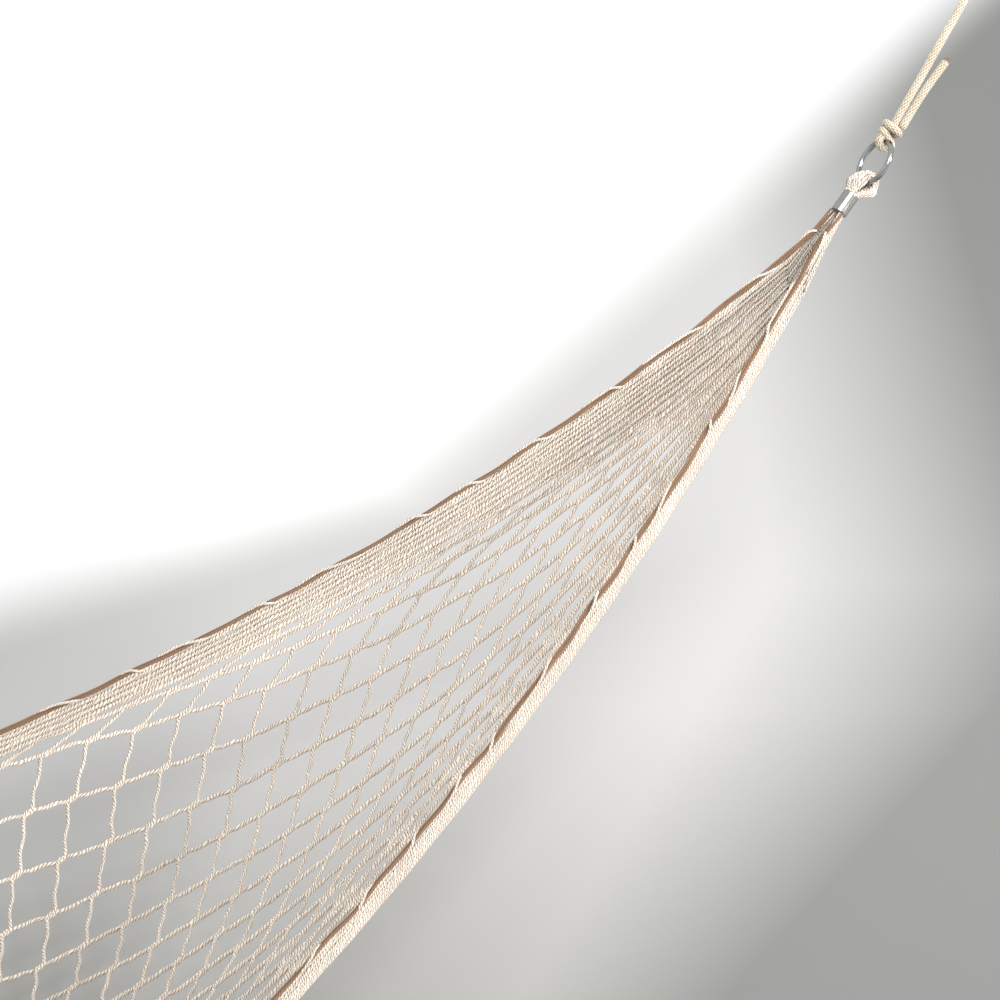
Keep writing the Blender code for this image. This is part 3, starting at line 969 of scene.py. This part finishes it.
def build_hook(name, material):
    """The solid model's plate and hook, with their edges rounded."""
    plain = frame["nodes"][f"hook_plate_{name}"]
    hook = bpy.data.objects.new(f"wall_hook_{name}", plain.data.copy())
    bpy.context.scene.collection.objects.link(hook)
    hook.data.materials.clear()
    hook.data.materials.append(material)
    hook.data.shade_smooth()
    hook.data.set_sharp_from_angle(angle=radians(40))
    rounded = hook.modifiers.new("rounded", "BEVEL")
    rounded.width = 0.0005
    rounded.segments = 3
    rounded.limit_method = "ANGLE"
    rounded.angle_limit = radians(50)
    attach(hook, "wall_hooks")
    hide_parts(f"hook_plate_{name}")


# Studio


# The floor's colour holds painted shade: its greys stand in for the studio light falling off, and are no
# shadow that the hammock casts.
FLOOR_WHITE = (0.80, 0.80, 0.80)
FLOOR_FAR_OFF = (0.72, 0.72, 0.715)
FLOOR_LEVEL = 0.61  # below the right mouth, on the scale of the greys' places
PAINTED_SHADE_GRAYS = [(0.27, (0.205, 0.21, 0.20)), (0.62, (0.53, 0.525, 0.518))]

# Where the floor's painted shade darkens or pales in each direction from the right mouth, and how steeply
RIGHT_FALL = (-0.05, 1.05)
LEFT_FALL = (0.03, 0.1)
NEAR_FALL = (0.1, 0.7)
PALE_ROUND = (1.25, 1.0)
PALE_RIGHT = (0.42, 2.2)
PALE_FRONT = (0.38, 5.0)
BACK_EDGE = 0.28  # how far behind the hammock's right end the floor turns white
BACK_EDGE_SPREAD = 0.26  # how much further for each metre to either side


def past(tree, value, start, steepness):
    """How far a value is past its start, times the steepness, and 0 before it."""
    beyond = math(tree, "MAXIMUM", math(tree, "SUBTRACT", value, start), 0.0)
    return math(tree, "MULTIPLY", beyond, steepness)


def soft_step(tree, value, end):
    """From 0 to 1 as the value goes from 0 to its end."""
    made = ramp(tree, value, [(0.0, (0, 0, 0)), (end, (1, 1, 1))])
    made.node.color_ramp.interpolation = "EASE"
    return made


def painted_gray_shade(tree, to_right, in_front):
    """Painted shade: light grey below the right mouth, darker to its right and nearer the front."""
    right_fall = past(tree, to_right, *RIGHT_FALL)
    left_fall = past(tree, math(tree, "MULTIPLY", to_right, -1.0), *LEFT_FALL)
    near_fall = past(tree, in_front, *NEAR_FALL)
    fall = math(tree, "ADD", math(tree, "ADD", right_fall, left_fall), near_fall)
    return ramp(tree, math(tree, "SUBTRACT", FLOOR_LEVEL, fall), PAINTED_SHADE_GRAYS)


def painted_floor_shade(tree):
    """The floor's colour, with painted shade: grey round the hammock's right end, white behind it and pale
    further off.
    """
    place = node(tree, "ShaderNodeNewGeometry")
    parts = node(tree, "ShaderNodeSeparateXYZ")
    tree.links.new(place.outputs["Position"], parts.inputs[0])
    x = math(tree, "SUBTRACT", parts.outputs[0], float(MOUTH[0]))
    y = parts.outputs[1]
    toward_front = math(tree, "MULTIPLY", math(tree, "ADD", x, y), -1.0)
    in_front = past(tree, toward_front, 0.0, 0.4)
    to_right = math(tree, "ADD", math(tree, "SUBTRACT", x, y), in_front)
    aside = math(tree, "ABSOLUTE", math(tree, "ADD", x, 0.15))
    edge = math(tree, "ADD", math(tree, "MULTIPLY", aside, BACK_EDGE_SPREAD), BACK_EDGE)
    behind = math(tree, "MULTIPLY", math(tree, "SUBTRACT", y, edge), 8.0)
    # painted shade, going white behind the hammock
    painted_shade = mix(tree, soft_step(tree, behind, 1.0), painted_gray_shade(tree, to_right, in_front), FLOOR_WHITE)
    reach = math(tree, "SQRT", math(tree, "ADD", math(tree, "POWER", x, 2.0), math(tree, "POWER", y, 2.0)))
    further = math(tree, "MAXIMUM", past(tree, to_right, *PALE_RIGHT), past(tree, in_front, *PALE_FRONT))
    furthest = math(tree, "MAXIMUM", past(tree, reach, *PALE_ROUND), further)
    return mix(tree, soft_step(tree, furthest, 0.9), painted_shade, FLOOR_FAR_OFF)


def build_floor():
    low = cad_box[0][2] - 0.007
    half_size = 14
    sides = (-half_size, half_size)
    points = np.array([(x, y, low) for y in sides for x in sides]) + [MIDDLE, 0, 0]
    material, tree, shader = new_material("floor", 0.7)
    # painted shade in the floor's colour
    tree.links.new(painted_floor_shade(tree), shader.inputs["Base Color"])
    floor = mesh_object("floor", points, [np.array([[0, 1, 3, 2]])], material)


def add_lamp(name, kind, energy, away):
    """A lamp this far away from the right mouth, shining at it."""
    data = bpy.data.lights.new(name, kind)
    data.energy = energy
    lamp = bpy.data.objects.new(name, data)
    lamp.location = Vector(MOUTH) + away
    lamp.rotation_euler = (-away).to_track_quat("-Z", "Y").to_euler()
    bpy.context.scene.collection.objects.link(lamp)
    return data


def build_light():
    """A white studio, darker near the ground, with a low soft light in front and a small one above."""
    world = bpy.data.worlds.new("studio")
    world.use_nodes = True
    tree = world.node_tree
    background = tree.nodes["Background"]
    place = node(tree, "ShaderNodeTexCoord")
    parts = node(tree, "ShaderNodeSeparateXYZ")
    tree.links.new(place.outputs["Generated"], parts.inputs[0])
    stops = [(0.0, (0.2, 0.2, 0.2)), (0.3, (1.0, 1.0, 1.0))]
    tree.links.new(ramp(tree, parts.outputs[2], stops), background.inputs["Color"])
    background.inputs["Strength"].default_value = 1.05
    bpy.context.scene.world = world
    bpy.context.scene.view_settings.view_transform = "Standard"
    add_lamp("key", "SUN", 2.5, Vector((0.42, -0.84, 0.34))).angle = radians(16)
    add_lamp("over_mouth", "AREA", 4.0, Vector((-0.08, -0.30, 0.55))).size = 0.35


def build_camera():
    """A view from 32 degrees up and 45 degrees round, with the right mouth near its top right corner."""
    azimuth, elevation, distance = radians(-45), radians(32), 2.5
    view_width = 0.75758  # at the mouth's distance
    view_right, view_up = 0.25606, 0.21742  # from the view's middle to the mouth
    right = Vector((cos(azimuth), sin(azimuth), 0))
    ahead = Vector((-sin(azimuth) * cos(elevation), cos(azimuth) * cos(elevation), -sin(elevation)))
    up = right.cross(ahead)
    data = bpy.data.cameras.new("camera")
    data.sensor_width = 36
    data.lens = data.sensor_width * distance / view_width
    data.clip_end = 100
    camera = bpy.data.objects.new("camera", data)
    basis = Matrix((right, up, -ahead)).transposed().to_4x4()
    place = Vector(MOUTH) - ahead * distance - right * view_right - up * view_up
    camera.matrix_world = Matrix.Translation(place) @ basis
    bpy.context.scene.collection.objects.link(camera)
    bpy.context.scene.camera = camera


build_camera()
build_light()
build_floor()
# the first colour is painted shade for the cord's grooves, the second the cord's own colour
net_cord = cord_material("net_knit", (0.56, 0.35, 0.21), (1.0, 0.94, 0.84), 3, 0.0088, 0.0009)
brown_cord = selvedge_material()
braided_rope = rope_material()
polished = metal_material("polished_steel", (0.36, 0.37, 0.38), 0.10, 0.06)
crimped = metal_material("crimped_aluminium", (0.34, 0.34, 0.32), 0.2, 0.12)
zinc = metal_material("zinc_plate", (0.62, 0.63, 0.63), 0.38, 0.2)
build_net(net_cord)
build_selvedge("near", -1, brown_cord)
build_selvedge("far", 1, brown_cord)
for end_name, end_side in ENDS.items():
    build_ring(end_name, end_side, polished)
    build_sleeve(end_name, end_side, crimped)
    build_eye(end_name, end_side, net_cord, brown_cord)
    build_rope(end_name, end_side, braided_rope)
    build_hook(end_name, zinc)
